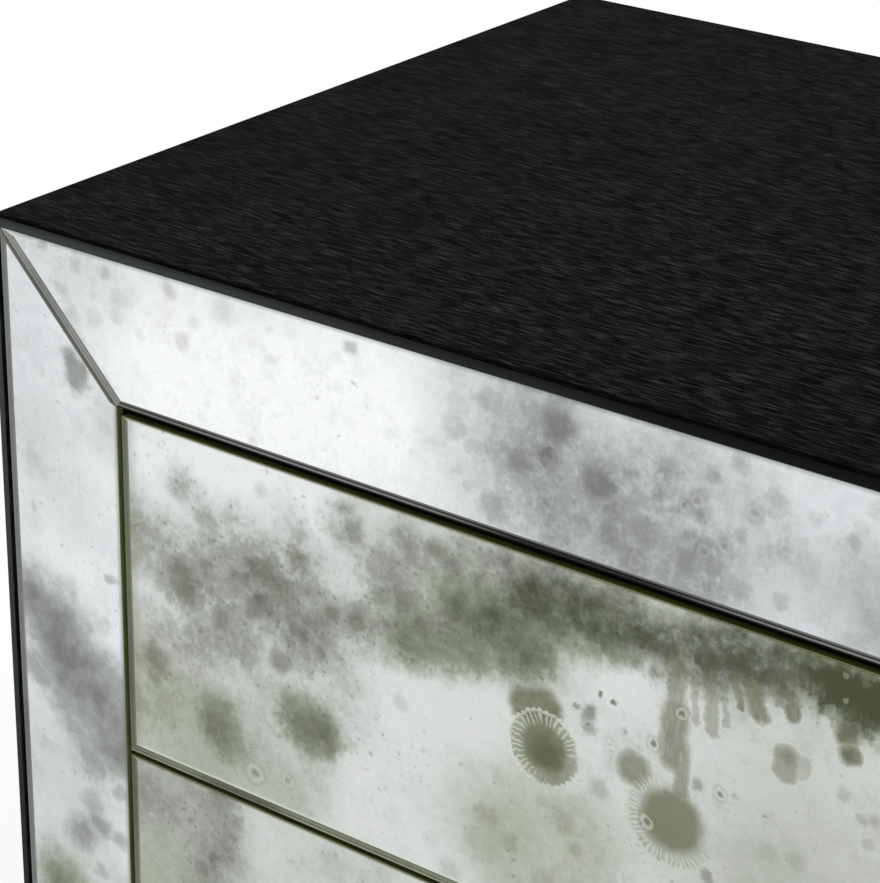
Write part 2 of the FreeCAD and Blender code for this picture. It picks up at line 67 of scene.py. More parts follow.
class Graph:
    """The node tree of one material, put together by short calls."""

    def __init__(self, name):
        self.material = bpy.data.materials.new(name)
        self.material.use_nodes = True
        self.tree = self.material.node_tree
        self.tree.nodes.clear()
        output = self.node("ShaderNodeOutputMaterial")
        self.shader = self.node("ShaderNodeBsdfPrincipled")
        self.tree.links.new(self.shader.outputs[0], output.inputs["Surface"])

    def node(self, kind, inputs=(), **settings):
        """A new node; its inputs are named, or counted from 0, and take a value or a link."""
        made = self.tree.nodes.new(kind)
        for name, value in settings.items():
            setattr(made, name, value)
        for socket, value in dict(inputs).items():
            self.put(made.inputs[socket], value)
        return made

    def put(self, socket, value):
        if isinstance(value, bpy.types.NodeSocket):
            self.tree.links.new(value, socket)
        else:
            socket.default_value = value

    def finish(self, **inputs):
        """Sets the shader's sockets, named with spaces as underscores, and gives the material."""
        for name, value in inputs.items():
            self.put(self.shader.inputs[name.replace("_", " ")], value)
        return self.material

    def math(self, operation, *values):
        return self.node("ShaderNodeMath", enumerate(values), operation=operation).outputs[0]

    def vector(self, operation, *values):
        made = self.node("ShaderNodeVectorMath", enumerate(values), operation=operation)
        single = operation in ("DISTANCE", "LENGTH", "DOT_PRODUCT")
        return made.outputs["Value" if single else "Vector"]

    def scaled(self, vector, factor):
        inputs = {0: vector, "Scale": factor}
        return self.node("ShaderNodeVectorMath", inputs, operation="SCALE").outputs["Vector"]

    def parts(self, vector):
        return self.node("ShaderNodeSeparateXYZ", {0: vector}).outputs

    def place(self):
        """The point on the piece in millimetres; it moves with the piece."""
        return self.scaled(self.node("ShaderNodeTexCoord").outputs["Object"], MM)

    def facing(self):
        return self.parts(self.node("ShaderNodeNewGeometry").outputs["Normal"])

    def noise(self, point, size, detail=3.0, roughness=0.6, output="Fac"):
        inputs = {"Vector": point, "Scale": 1.0 / size, "Detail": detail, "Roughness": roughness}
        return self.node("ShaderNodeTexNoise", inputs).outputs[output]

    def cells(self, point, size):
        return self.node("ShaderNodeTexVoronoi", {"Vector": point, "Scale": 1.0 / size}).outputs

    def blots(self, point, size, share, smallest, largest):
        """Round blots by chance, one in some of the cells of a size; the radii are in cells."""
        cells = self.cells(point, size)
        chance = self.parts(cells["Color"])
        radius = self.times_plus(chance["X"], largest - smallest, smallest)
        inner = self.product(radius, 0.45)
        blot = self.smooth(cells["Distance"], radius, inner)
        chosen = self.smooth(chance["Y"], 1.0 - share, 1.02 - share)
        depth = self.times_plus(chance["Z"], 0.7, 0.3)
        return self.product(blot, chosen, depth)

    def smooth(self, value, low, high):
        """0 to 1 between low and high, with soft ends."""
        return self.mapped("SMOOTHSTEP", value, low, high)

    def linear(self, value, low, high):
        """0 at low and 1 at high, going on beyond them."""
        return self.mapped("LINEAR", value, low, high)

    def mapped(self, course, value, low, high):
        inputs = {"Value": value, "From Min": low, "From Max": high}
        made = self.node("ShaderNodeMapRange", inputs, interpolation_type=course, clamp=False)
        return made.outputs[0]

    def blend(self, share, first, second, kind="MIX"):
        inputs = {0: share, 6: first, 7: second}
        return self.node("ShaderNodeMix", inputs, data_type="RGBA", blend_type=kind).outputs[2]

    def darken(self, share, colour, mark):
        """The colour taken towards a mark's colour, but never lightened by it."""
        return self.blend(share, colour, mark, "DARKEN")

    def ramp(self, value, *stops):
        made = self.node("ShaderNodeValToRGB", {0: value})
        elements = made.color_ramp.elements
        while len(elements) < len(stops):
            elements.new(0.5)
        for element, (position, colour) in zip(elements, stops):
            element.position = position
            element.color = colour
        return made.outputs[0]

    def bump(self, height, distance, strength):
        """A normal from a height between 0 and 1 that stands for a distance in millimetres."""
        inputs = {"Height": height, "Distance": distance / MM, "Strength": strength}
        self.put(self.shader.inputs["Normal"], self.node("ShaderNodeBump", inputs).outputs[0])

    def pushed(self, point, direction, amount):
        """The point, moved within the pane by a centred colour of noise."""
        return self.vector("MULTIPLY_ADD", direction, (2 * amount, 0.0, 2 * amount), point)

    def turmoil(self, point, size):
        """Soft noise as a direction around zero."""
        return self.vector("SUBTRACT", self.noise(point, size, output="Color"), (0.5, 0.5, 0.5))

    def centred(self, point, size, detail=3.0, roughness=0.6):
        return self.math("SUBTRACT", self.noise(point, size, detail, roughness), 0.5)

    def product(self, first, *others):
        for other in others:
            first = self.math("MULTIPLY", first, other)
        return first

    def times_plus(self, value, factor, addend):
        return self.math("MULTIPLY_ADD", value, factor, addend)

    def stroke(self, point, start, end):
        """Distance from a stroke between two places (x, z) on the pane."""
        offset = self.vector("SUBTRACT", point, (start[0], FRONT, start[1]))
        along = (end[0] - start[0], 0.0, end[1] - start[1])
        length = along[0] ** 2 + along[2] ** 2
        if length == 0:
            return self.vector("LENGTH", offset)
        share = self.product(self.vector("DOT_PRODUCT", offset, along), 1.0 / length)
        share = self.math("MINIMUM", self.math("MAXIMUM", share, 0.0), 1.0)
        return self.vector("DISTANCE", offset, self.scaled(along, share))


# Antiqued mirror

# Sizes of the noise and cells that the tarnish is made of
DRIFT = 90.0
BROAD = 30.0
CROWD = 26.0
SWAY = 20.0
LUMP = 15.0
TEAR = 11.0
WEB = 8.0
DAB = 7.0
CURD = 6.5
SPECK = 6.0
JITTER = 5.0
PEPPER = 3.0
BRISTLE = 2.4
GRAIN = 1.9
HAIR = 1.6

PALE_RIM = tone(226, 229, 217)
OLIVE_LIGHT = tone(160, 166, 149)
OLIVE_MID = tone(117, 122, 98)
OLIVE_DARK = tone(74, 80, 58)
BEVEL_DULL = tone(34, 36, 30)
# Dark of a bevel's painted reflection and shade
BEVEL_DIM = tone(12, 13, 11)


def union(graph, point, strokes, outer, inner):
    """The strongest of several soft strokes (start, end, width, depth) at each point."""
    whole = 0.0
    for start, end, width, depth in strokes:
        near = graph.smooth(graph.stroke(point, start, end), outer * width, inner * width)
        whole = graph.math("MAXIMUM", whole, graph.product(near, depth))
    return whole


def shaded(graph, colour, density, light, dark):
    """Tarnish that goes from the clear colour through a light tone to a dark one."""
    colour = graph.darken(graph.linear(density, 0.0, 0.5), colour, light)
    return graph.darken(graph.smooth(density, 0.15, 1.3), colour, dark)


def add_marks(graph, colour, shape, uneven, clear):
    """Olive marks of a soft shape, with a thin pale halo where the pane round them is clear."""
    halo = graph.product(graph.smooth(shape, 0.02, 0.12), graph.smooth(shape, 0.4, 0.15), clear, 0.4)
    colour = graph.blend(halo, colour, PALE_RIM)
    return graph.darken(graph.product(shape, uneven), colour, OLIVE_MID)


def add_spots(graph, colour, point, uneven, look):
    """Soft round tarnish marks (x, z, radius, depth)."""
    marks = 0.0
    for x, z, radius, depth in look["spots"]:
        core = graph.smooth(graph.stroke(point, (x, z), (x, z)), radius * 1.4, radius * 0.35)
        marks = graph.math("MAXIMUM", marks, graph.product(core, depth))
    return graph.darken(graph.product(marks, uneven), colour, look["dark"])


def add_eyes(graph, colour, point, look):
    """Small dark dots (x, z, radius, depth) inside a pale ring with a thin dark outline."""
    layers = ((1.7, 1.1, 0.3), (1.2, 0.8, 0.36), (0.8, 0.2, 0.7))
    for x, z, radius, depth in look["eyes"]:
        distance = graph.stroke(point, (x, z), (x, z))
        for (outer, inner, share), layer in zip(layers, look["eye"]):
            shown = graph.smooth(distance, radius * outer, radius * inner)
            colour = graph.blend(graph.product(shown, share * depth), colour, layer)
    return colour


def add_bloom(graph, colour, point, curd, bloom):
    """A flower-like mark: dark core, a ring of pale ribs round it and a scalloped rim on part of it."""
    core, rim = bloom["core"], bloom["rim"]
    offset = graph.vector("SUBTRACT", point, (bloom["x"], FRONT, bloom["z"]))
    distance = graph.vector("LENGTH", offset)
    across = graph.parts(offset)
    angle = graph.math("ARCTAN2", across["Z"], across["X"])
    turns = graph.product(angle, bloom["ribs"])
    wave = graph.math("SINE", graph.times_plus(curd, 9.0, turns))
    side = graph.math("COSINE", graph.math("SUBTRACT", angle, math.radians(bloom["open"])))
    begins = bloom["begins"]
    shown = graph.smooth(graph.times_plus(curd, 0.8, side), begins + 0.25, begins - 0.7)
    edge_at = graph.times_plus(wave, 0.03 * rim, rim)
    from_edge = graph.math("SUBTRACT", distance, edge_at)
    inside = graph.smooth(from_edge, 1.0, -1.0)
    colour = graph.darken(graph.product(inside, shown, bloom["ring"]), colour, OLIVE_LIGHT)
    filled = graph.product(graph.math("SUBTRACT", 1.0, shown), inside, bloom["fill"])
    colour = graph.darken(filled, colour, OLIVE_MID)
    outer, inner, depth = bloom["slope"]
    slope = graph.smooth(distance, rim * outer, core * inner)
    colour = graph.darken(graph.product(slope, depth), colour, OLIVE_MID)
    middle = graph.smooth(distance, core * 1.2, core * 0.8)
    colour = graph.darken(graph.product(middle, bloom["core_depth"]), colour, OLIVE_MID)
    ring = graph.smooth(distance, core * 0.9, core * 1.2)
    on_ring = graph.product(ring, inside, shown)
    groove = graph.product(graph.smooth(wave, 0.2, -0.9), on_ring, bloom["ribbed"] * 0.6)
    colour = graph.darken(groove, colour, OLIVE_MID)
    rib = graph.product(graph.smooth(wave, 0.1, 1.0), on_ring, bloom["ribbed"])
    colour = graph.blend(rib, colour, PALE_RIM)
    line = graph.smooth(graph.math("ABSOLUTE", from_edge), 1.0, 0.2)
    colour = graph.blend(graph.product(line, shown, bloom["rim_depth"]), colour, PALE_RIM)
    from_heart = graph.vector("LENGTH", graph.vector("SUBTRACT", offset, (0.15 * core, 0.0, -0.25 * core)))
    uneven = graph.times_plus(curd, 0.6 * core, from_heart)
    inmost = graph.smooth(uneven, core * 1.05, core * 0.3)
    return graph.darken(graph.product(inmost, bloom["heart"]), colour, OLIVE_DARK)


def antique_mirror(name, look):
    """The silvered front face of a pane, with the tarnish that its look describes."""
    graph = Graph(name)
    point = graph.place()
    seeded = graph.vector("ADD", point, (look["seed"] * 731.0, 0.0, look["seed"] * 379.0))
    broad = graph.centred(seeded, BROAD, 3.0, 0.55)
    curd = graph.centred(seeded, CURD, 4.0, 0.6)
    grain = graph.centred(seeded, GRAIN, 3.0, 0.65)
    slant = graph.scaled(look["lean"], graph.parts(seeded)["Z"])
    fibres = graph.vector("MULTIPLY_ADD", seeded, look["hair"], slant)
    hair = graph.centred(fibres, HAIR)
    fine = graph.times_plus(grain, look["grain"], graph.product(hair, look["fibre"]))
    mist = graph.math("ADD", graph.times_plus(curd, 0.8, broad), fine)
    jitter = graph.turmoil(seeded, JITTER)
    close = graph.pushed(point, jitter, 2.0)
    loose = graph.pushed(graph.pushed(point, graph.turmoil(seeded, SWAY), 8.0), jitter, 3.5)
    bristle = graph.turmoil(seeded, BRISTLE)
    frilled = graph.pushed(loose, bristle, 2.4)
    frilled = graph.vector("ADD", frilled, graph.scaled(look["fray"], hair))
    stirred = graph.pushed(seeded, jitter, 2.5)
    lumps = graph.blots(stirred, LUMP, 0.7, 0.25, 0.6)
    dabs = graph.blots(stirred, DAB, 0.5, 0.2, 0.6)
    mottle = graph.times_plus(dabs, 0.6, lumps)

    drift = graph.noise(seeded, DRIFT, 2.0, 0.5)
    pale = graph.linear(graph.times_plus(curd, 0.7, drift), 0.3, 0.7)
    colour = graph.blend(pale, look["clear"], look["white"])
    haze = graph.linear(graph.times_plus(mottle, look["spotted"], mist), 0.0, 0.7)
    colour = graph.blend(haze, colour, look["greys"][0])
    broken = graph.times_plus(dabs, 0.35, graph.times_plus(mist, 1.2, 0.85))
    for start, end, width, depth, wash in look["zones"]:
        soft = graph.smooth(graph.stroke(loose, start, end), 1.7 * width, 0.2 * width)
        colour = graph.blend(graph.product(soft, broken, depth), colour, wash)

    curdled = graph.times_plus(mist, look["curdled"], 0.85)
    texture = graph.times_plus(mottle, look["mottled"], curdled)
    ragged = graph.product(mist, 0.2)
    grey = graph.times_plus(union(graph, loose, look["grey"], 2.1, 0.1), texture, ragged)
    colour = shaded(graph, colour, grey, *look["greys"])
    calm = graph.times_plus(lumps, 0.15, graph.times_plus(mist, 0.65, 0.92))
    olive = graph.times_plus(union(graph, frilled, look["olive"], 1.8, 0.3), calm, ragged)
    clear = graph.smooth(olive, 0.2, 0.0)
    fingers = union(graph, graph.pushed(close, bristle, 1.3), look["fingers"], 1.45, 0.45)
    colour = add_marks(graph, colour, fingers, graph.times_plus(hair, 0.7, 1.0), clear)
    discs = union(graph, close, look["discs"], 1.25, 0.55)
    colour = add_marks(graph, colour, discs, graph.times_plus(curd, 0.6, 1.0), clear)
    colour = shaded(graph, colour, olive, OLIVE_LIGHT, OLIVE_DARK)

    cloudy = graph.math("MAXIMUM", grey, olive)
    web = graph.math("ABSOLUTE", graph.centred(stirred, WEB, 2.0, 0.6))
    strand = graph.product(graph.smooth(web, 0.09, 0.0), graph.smooth(broad, -0.05, 0.1), 0.25)
    fleck = graph.smooth(graph.times_plus(fine, 0.7, curd), 0.06, 0.3)
    thin = graph.product(cloudy, graph.math("SUBTRACT", 1.1, cloudy))
    wisp = graph.product(graph.math("MAXIMUM", fleck, strand), thin, look["wisps"])
    colour = graph.blend(wisp, colour, look["white"])
    uneven = graph.times_plus(grain, 0.4, graph.times_plus(curd, 0.5, 0.97))
    torn = graph.pushed(close, graph.turmoil(seeded, TEAR), look["torn"])
    colour = add_spots(graph, colour, torn, uneven, look)
    for bloom in look["blooms"]:
        colour = add_bloom(graph, colour, close, curd, bloom)
    colour = add_eyes(graph, colour, close, look)

    crowd = graph.smooth(graph.noise(seeded, CROWD, 2.0, 0.5), 0.5, 0.68)
    crowd = graph.math("MAXIMUM", crowd, graph.product(thin, 4.0))
    pepper = graph.product(graph.blots(stirred, PEPPER, 0.45, 0.15, 0.5), crowd)
    colour = graph.darken(graph.product(pepper, look["specks"]), colour, look["dark"])
    specks = graph.blots(close, SPECK, 0.4, 0.06, 0.2)
    colour = graph.darken(graph.product(specks, look["specks"]), colour, look["dark"])
    for axis, start, end, depth, shade in look["rims"]:
        near = graph.smooth(graph.parts(point)[axis], start, end)
        colour = graph.blend(graph.product(near, depth), colour, shade)
    rough = graph.times_plus(cloudy, 0.1, 0.06)
    return graph.finish(Base_Color=colour, Metallic=1.0, Roughness=rough)


def bevel_silver(name, kind, step):
    """One step of a ground silvered bevel; each side's tone is a painted reflection of another part of the
    room.
    """
    graph = Graph(name)
    place = graph.place()
    facing = graph.facing()
    sideways = graph.math("ABSOLUTE", facing["X"])
    upright = graph.math("ABSOLUTE", facing["Z"])
    # How far a place on the step belongs to each side
    turned = {
        "left": 1.0,
        "below": graph.smooth(graph.math("SUBTRACT", upright, sideways), -0.02, 0.02),
        "mitre": graph.smooth(graph.math("MINIMUM", upright, sideways), 0.03, 0.06),
    }
    # Painted reflection and shade: each side's facets get a fixed tone by the way they face
    colour = BEVEL_DIM
    for side, levels in kind["tones"].items():
        shade = tone(*(levels[step] * share for share in kind["tint"]))
        colour = graph.blend(turned[side], colour, shade)
    # Painted reflection: a lower bevel is darker round a place x
    if "dim" in kind:
        middle, reach, depths = kind["dim"]
        away = graph.math("ABSOLUTE", graph.math("SUBTRACT", graph.parts(place)["X"], middle))
        near = graph.smooth(away, reach, 0.3 * reach)
        colour = graph.blend(graph.product(near, turned["below"], depths[step]), colour, BEVEL_DIM)
    wear = graph.noise(place, 4.0, 5.0, 0.65)
    stretch = graph.noise(place, 90.0, 2.0, 0.5)
    dull = graph.times_plus(graph.smooth(wear, 0.45, 0.8), 0.5, graph.smooth(stretch, 0.5, 0.75))
    colour = graph.blend(graph.product(dull, 0.4), colour, BEVEL_DULL)
    rough = graph.times_plus(wear, 0.15, 0.02)
    return graph.finish(Base_Color=colour, Metallic=1.0, Roughness=rough)


def glass_edge():
    """The polished edge of the glass: deep olive with darker bands, paler towards the front; painted paler
    where it faces sideways.
    """
    graph = Graph("glass_edge")
    point = graph.place()
    band = graph.noise(graph.vector("MULTIPLY", point, (0.05, 2.0, 0.05)), 1.0)
    colour = graph.ramp(band, (0.3, tone(28, 34, 11)), (0.7, tone(84, 92, 42)))
    near = graph.smooth(graph.parts(point)["Y"], FRONT + 1.7, FRONT + 0.4)
    colour = graph.blend(graph.product(near, 0.7), colour, tone(172, 178, 142))
    # Painted light: edges that face sideways are lightened for the light that falls on them in the gaps
    upright = graph.smooth(graph.math("ABSOLUTE", graph.facing()["X"]), 0.4, 0.8)
    pale = graph.ramp(band, (0.3, tone(80, 88, 50)), (0.7, tone(136, 145, 94)))
    colour = graph.blend(upright, colour, pale)
    rough = graph.times_plus(band, 0.2, 0.1)
    return graph.finish(Base_Color=colour, Roughness=rough, Specular_IOR_Level=0.1)


def backing_paint():
    """Grey paint over the silver on the hidden side of a pane."""
    graph = Graph("backing_paint")
    grain = graph.noise(graph.place(), 3.0, 5.0, 0.6)
    colour = graph.ramp(grain, (0.35, tone(66, 68, 66)), (0.65, tone(84, 86, 84)))
    graph.bump(grain, 0.05, 1.0)
    return graph.finish(Base_Color=colour, Roughness=0.7)


# Wood, board, metal and plastic

X, Y, Z = range(3)
OAK_GROUND = tone(17, 17, 18)
OAK_RIDGE = tone(62, 63, 66)
OAK_PORE = tone(7, 7, 8)
OAK_SHADE = tone(12, 12, 13)
# Painted shadow line in the joint behind the top's front edge
OAK_JOINT_SHADOW = tone(3, 3, 4)
WORN_DARK = tone(23, 22, 21)
WORN_LIGHT = tone(37, 39, 42)
LIPPING = tone(25, 27, 26)
# Lighter lipping tone: a painted reflection
LIPPING_REFLECTION = tone(66, 69, 69)
LIPPING_SHADE = tone(16, 17, 17)
BIRCH = (tone(226, 205, 170), tone(206, 180, 140))
WOOD_FLECK = tone(142, 108, 70)
GLUE_LINE = tone(150, 116, 78)
PLY = 1.5


def brushed_oak(name, along, on_top=False):
    """Black wire-brushed oak with its grain along one axis; edges that face forward are smooth lipping."""
    graph = Graph(name)
    point = graph.place()
    place = graph.parts(point)
    stretch = [1.0, 1.0, 1.0]
    stretch[along] = 0.085
    wavy = graph.vector("ADD", point, graph.scaled(graph.noise(point, 40.0, 2.0, 0.5, "Color"), 2.0))
    lines = graph.vector("MULTIPLY", wavy, tuple(stretch))
    fibre = graph.noise(lines, 0.9, 2.0, 0.6)
    pore = graph.noise(graph.vector("ADD", lines, (40.0, 90.0, 70.0)), 1.1, 2.0, 0.6)
    patch = graph.smooth(graph.noise(point, 30.0, 4.0, 0.65), 0.2, 0.8)
    ridge = graph.smooth(fibre, 0.42, 0.7)
    lit = graph.product(ridge, graph.times_plus(patch, 0.4, 0.55))
    brushed = graph.blend(lit, OAK_GROUND, OAK_RIDGE)
    groove = graph.smooth(pore, 0.52, 0.34)
    brushed = graph.blend(graph.product(groove, 0.75), brushed, OAK_PORE)
    stretch[along] = 0.4
    cloud = graph.noise(graph.vector("MULTIPLY", wavy, tuple(stretch)), 8.0)
    worn = graph.blend(graph.smooth(cloud, 0.3, 0.7), WORN_DARK, WORN_LIGHT)
    if on_top:
        across = graph.times_plus(place["Y"], -0.5, place["X"])
        clear = graph.times_plus(graph.smooth(across, -420.0, 80.0), 0.5, 0.5)
        colour = graph.blend(clear, worn, brushed)
        deep = graph.product(graph.smooth(across, 40.0, 260.0), 0.5)
        colour = graph.blend(deep, colour, OAK_SHADE)
        # Painted shadow line along the joint just behind the top's front edge
        joint_shadow = graph.smooth(place["Y"], FRONT + 5.5, FRONT + 2.5)
        colour = graph.blend(graph.product(joint_shadow, 0.8), colour, OAK_JOINT_SHADOW)
    else:
        clear = 0.75
        colour = graph.blend(clear, worn, brushed)
    # Painted reflection: forward-facing lipping is lighter towards the left and the top
    reflection_run = graph.times_plus(graph.noise(point, 80.0, 2.0, 0.5), 160.0, place["X"])
    reflection_run = graph.times_plus(place["Z"], -0.65, reflection_run)
    lipping = graph.blend(graph.smooth(reflection_run, -300.0, -710.0), LIPPING, LIPPING_REFLECTION)
    if on_top:
        shadow = graph.smooth(place["Z"], TOP - 3.2, TOP)
        lipping = graph.blend(graph.product(shadow, 0.5), lipping, LIPPING_SHADE)
    forward = graph.smooth(graph.product(graph.facing()["Y"], -1.0), 0.6, 0.9)
    colour = graph.blend(forward, colour, lipping)
    relief = graph.math("SUBTRACT", fibre, graph.product(groove, 0.5))
    flat = graph.product(relief, graph.times_plus(forward, -0.85, 1.0), clear)
    graph.bump(flat, 0.2, 0.4)
    rough = graph.times_plus(ridge, -0.1, 0.65)
    return graph.finish(Base_Color=colour, Roughness=rough, Specular_IOR_Level=0.0)


def black_board():
    """Black-stained fibre board with a fine pressed grain."""
    graph = Graph("black_board")
    point = graph.place()
    fibre = graph.noise(point, 1.2, 4.0, 0.7)
    patch = graph.noise(point, 45.0, 3.0, 0.5)
    shade = graph.math("ADD", graph.product(fibre, 0.6), graph.product(patch, 0.4))
    colour = graph.ramp(shade, (0.35, tone(16, 16, 17)), (0.65, tone(32, 32, 33)))
    graph.bump(fibre, 0.08, 0.5)
    rough = graph.times_plus(fibre, 0.2, 0.55)
    return graph.finish(Base_Color=colour, Roughness=rough, Specular_IOR_Level=0.2)


def pale_wood(name, along, across, light, dark):
    """Pale wood with its grain along one axis, and ply lines across the thickness on upward edges."""
    graph = Graph(name)
    point = graph.place()
    stretch = [1.0, 1.0, 1.0]
    stretch[along] = 0.05
    lines = graph.vector("MULTIPLY", graph.pushed(point, graph.turmoil(point, 60.0), 4.0), tuple(stretch))
    ring = graph.noise(lines, 7.0, 4.0, 0.6)
    pore = graph.noise(lines, 0.9)
    colour = graph.ramp(ring, (0.3, light), (0.7, dark))
    fleck = graph.smooth(pore, 0.62, 0.75)
    colour = graph.blend(graph.product(fleck, 0.3), colour, WOOD_FLECK)
    if across is not None:
        layer = graph.math("SINE", graph.product(graph.parts(point)[across], math.pi / PLY))
        upward = graph.smooth(graph.math("ABSOLUTE", graph.facing()["Z"]), 0.6, 0.9)
        stripe = graph.product(graph.smooth(layer, -0.2, 0.2), upward)
        colour = graph.blend(graph.product(stripe, 0.5), colour, GLUE_LINE)
    graph.bump(pore, 0.06, 0.5)
    rough = graph.times_plus(ring, 0.15, 0.42)
    return graph.finish(Base_Color=colour, Roughness=rough, Specular_IOR_Level=0.3)


def plated_steel(name, light, dark, size, rough):
    """Plated steel: faint crystal patches and drawing lines along the travel."""
    graph = Graph(name)
    point = graph.place()
    patch = graph.cells(graph.pushed(point, graph.turmoil(point, 6.0), 1.5), size)["Color"]
    grain = graph.noise(graph.vector("MULTIPLY", point, (1.0, 0.04, 1.0)), 0.8)
    crystal = graph.product(graph.parts(patch)["X"], 0.35)
    shade = graph.math("ADD", crystal, graph.product(grain, 0.65))
    colour = graph.ramp(shade, (0.25, dark), (0.75, light))
    graph.bump(grain, 0.03, 0.5)
    uneven = graph.times_plus(shade, 0.2, rough)
    return graph.finish(Base_Color=colour, Metallic=1.0, Roughness=uneven)


def moulded_plastic(name, light, dark):
    """Moulded plastic with a fine spark-eroded surface."""
    graph = Graph(name)
    point = graph.place()
    grain = graph.noise(point, 0.6)
    flow = graph.noise(point, 12.0, 2.0, 0.5)
    shade = graph.math("ADD", graph.product(grain, 0.5), graph.product(flow, 0.5))
    colour = graph.ramp(shade, (0.35, dark), (0.65, light))
    graph.bump(grain, 0.03, 0.5)
    rough = graph.times_plus(grain, 0.2, 0.4)
    return graph.finish(Base_Color=colour, Roughness=rough, Specular_IOR_Level=0.35)


# Tarnish of each pane. Strokes are (start, end, width, depth) and zones also have a colour. Spots and
# eyes are (x, z, radius, depth). Rims are (axis, start, end, depth, colour). Blooms have the radii of
# their core and rim, the side without a rim in degrees, the cosine at which the rim begins, and the
# depths of their parts. Hair and lean shape the fibres, and fray and torn break the edges of marks.

BLUE_GREY = tone(186, 195, 196)
SOFT_WHITE = tone(248, 250, 251)
OLIVE_WASH = tone(164, 170, 150)
PLAIN = {
    "zones": [], "grey": [], "olive": [], "fingers": [], "discs": [],
    "spots": [], "blooms": [], "eyes": [], "rims": [],
    "hair": (1.0, 1.0, 0.18), "lean": (0.0, 0.0, 0.0), "fibre": 0.12, "fray": (2.0, 0.0, 3.5),
    "grain": 0.45, "curdled": 1.1, "wisps": 1.3, "spotted": 0.25, "mottled": 0.4, "specks": 0.3, "torn": 3.0,
}
ON_FRAME = PLAIN | {
    "clear": tone(205, 212, 213), "white": tone(230, 234, 235),
    "greys": (tone(176, 180, 178), tone(112, 114, 110)), "dark": tone(120, 121, 119),
    "eye": (tone(132, 134, 132), tone(226, 229, 228), tone(98, 99, 97)),
}
ON_DRAWER = PLAIN | {
    "clear": tone(199, 203, 198), "white": tone(217, 220, 218),
    "greys": (tone(169, 173, 166), tone(109, 113, 104)), "dark": tone(102, 106, 90),
    "eye": (OLIVE_MID, PALE_RIM, OLIVE_DARK), "specks": 0.42,
}
ON_STILE = ON_FRAME | {
    "hair": (0.7, 1.0, 0.2), "fibre": 0.15, "grain": 0.15, "curdled": 0.7, "wisps": 0.5, "mottled": 0.08,
}

TOP_RAIL = ON_FRAME | {
    "seed": 1,
    "spotted": 0.5,
    "specks": 0.16,
    "curdled": 1.3,
    "wisps": 1.8,
    "torn": 2.5,
    # Painted shadow: the rail darkens just under the top's lip
    "rims": [("Z", 691.6, 693.6, 0.5, tone(100, 103, 98))],
    "zones": [
        ((-225, 650), (-140, 662), 42, 1.3, SOFT_WHITE),
        ((-60, 690), (-30, 640), 34, 0.38, BLUE_GREY),
        ((90, 654), (300, 652), 20, 1.0, tone(160, 164, 161)),
    ],
    "grey": [
        ((-292, 690), (-266, 676), 12, 0.16),
        ((-78, 668), (-60, 648), 20, 0.26),
        ((-50, 660), (8, 654), 30, 0.68),
        ((-20, 684), (30, 676), 16, 0.35),
        ((-14, 660), (10, 650), 12, 0.5),
        ((14, 668), (36, 646), 14, 0.1),
        ((52, 668), (66, 650), 10, 0.1),
        ((150, 670), (215, 650), 18, 0.5),
    ],
    "spots": [
        (-44, 682, 8.5, 0.88), (-61, 663, 6.5, 0.6), (-26, 664, 8.2, 0.88), (-21, 664, 3.5, 0.8),
        (-8, 638, 5.5, 0.5), (12, 645, 5, 0.42), (16, 671, 4, 0.5), (11, 667, 2.6, 0.65),
        (19, 652, 4, 0.48), (40, 671, 3.6, 0.3), (52, 661, 4.4, 0.3), (61, 658, 6, 0.25),
        (-78, 682, 4, 0.25), (-109, 652, 2.6, 0.12), (31, 689, 4, 0.4), (17, 664, 3, 0.5),
        (14, 655, 2.4, 0.45), (24, 645, 3.4, 0.38), (28, 656, 2.2, 0.4), (-6, 650, 7, 0.4),
        (22, 681, 3.4, 0.45), (0, 668, 3, 0.35), (-12, 672, 3, 0.4), (34, 662, 3, 0.4), (36, 640, 4, 0.3),
        (2, 679, 4, 0.3), (-38, 637, 1.8, 0.45), (-20, 644, 4.4, 0.5), (6, 657, 3, 0.25),
        (-18, 657, 6, 0.4), (47, 680, 3.6, 0.2), (78, 672, 3, 0.35), (62, 676, 3, 0.2),
        (22, 637, 3, 0.25), (-282, 686, 3.4, 0.3), (-300, 691, 3, 0.4), (-231, 688, 4.2, 0.35),
        (-243, 676, 2.2, 0.12), (-248, 665, 2.8, 0.15), (-224, 668, 4.4, 0.28), (-218, 678, 3.4, 0.22),
        (-203, 687, 7, 0.25), (-178, 672, 2.8, 0.15), (-179, 685, 2, 0.12), (-266, 688, 3, 0.3),
        (-290, 675, 3, 0.12), (-272, 677, 3, 0.15), (-188, 634, 2.4, 0.2), (-139, 688, 3.2, 0.5),
        (-156, 662, 1.2, 0.3), (-137, 673, 1.4, 0.3), (-145, 649, 1, 0.35),
    ],
    "eyes": [
        (11, 666, 2.6, 0.6), (16, 670, 3, 0.5), (20, 662, 2, 0.45), (20, 651, 2.6, 0.5),
        (28, 655, 2.4, 0.45), (39, 672, 3, 0.45), (52, 662, 2.4, 0.3), (21, 638, 2.2, 0.35),
        (-8, 638, 3.4, 0.35), (-42, 661, 2.6, 0.35),
    ],
}
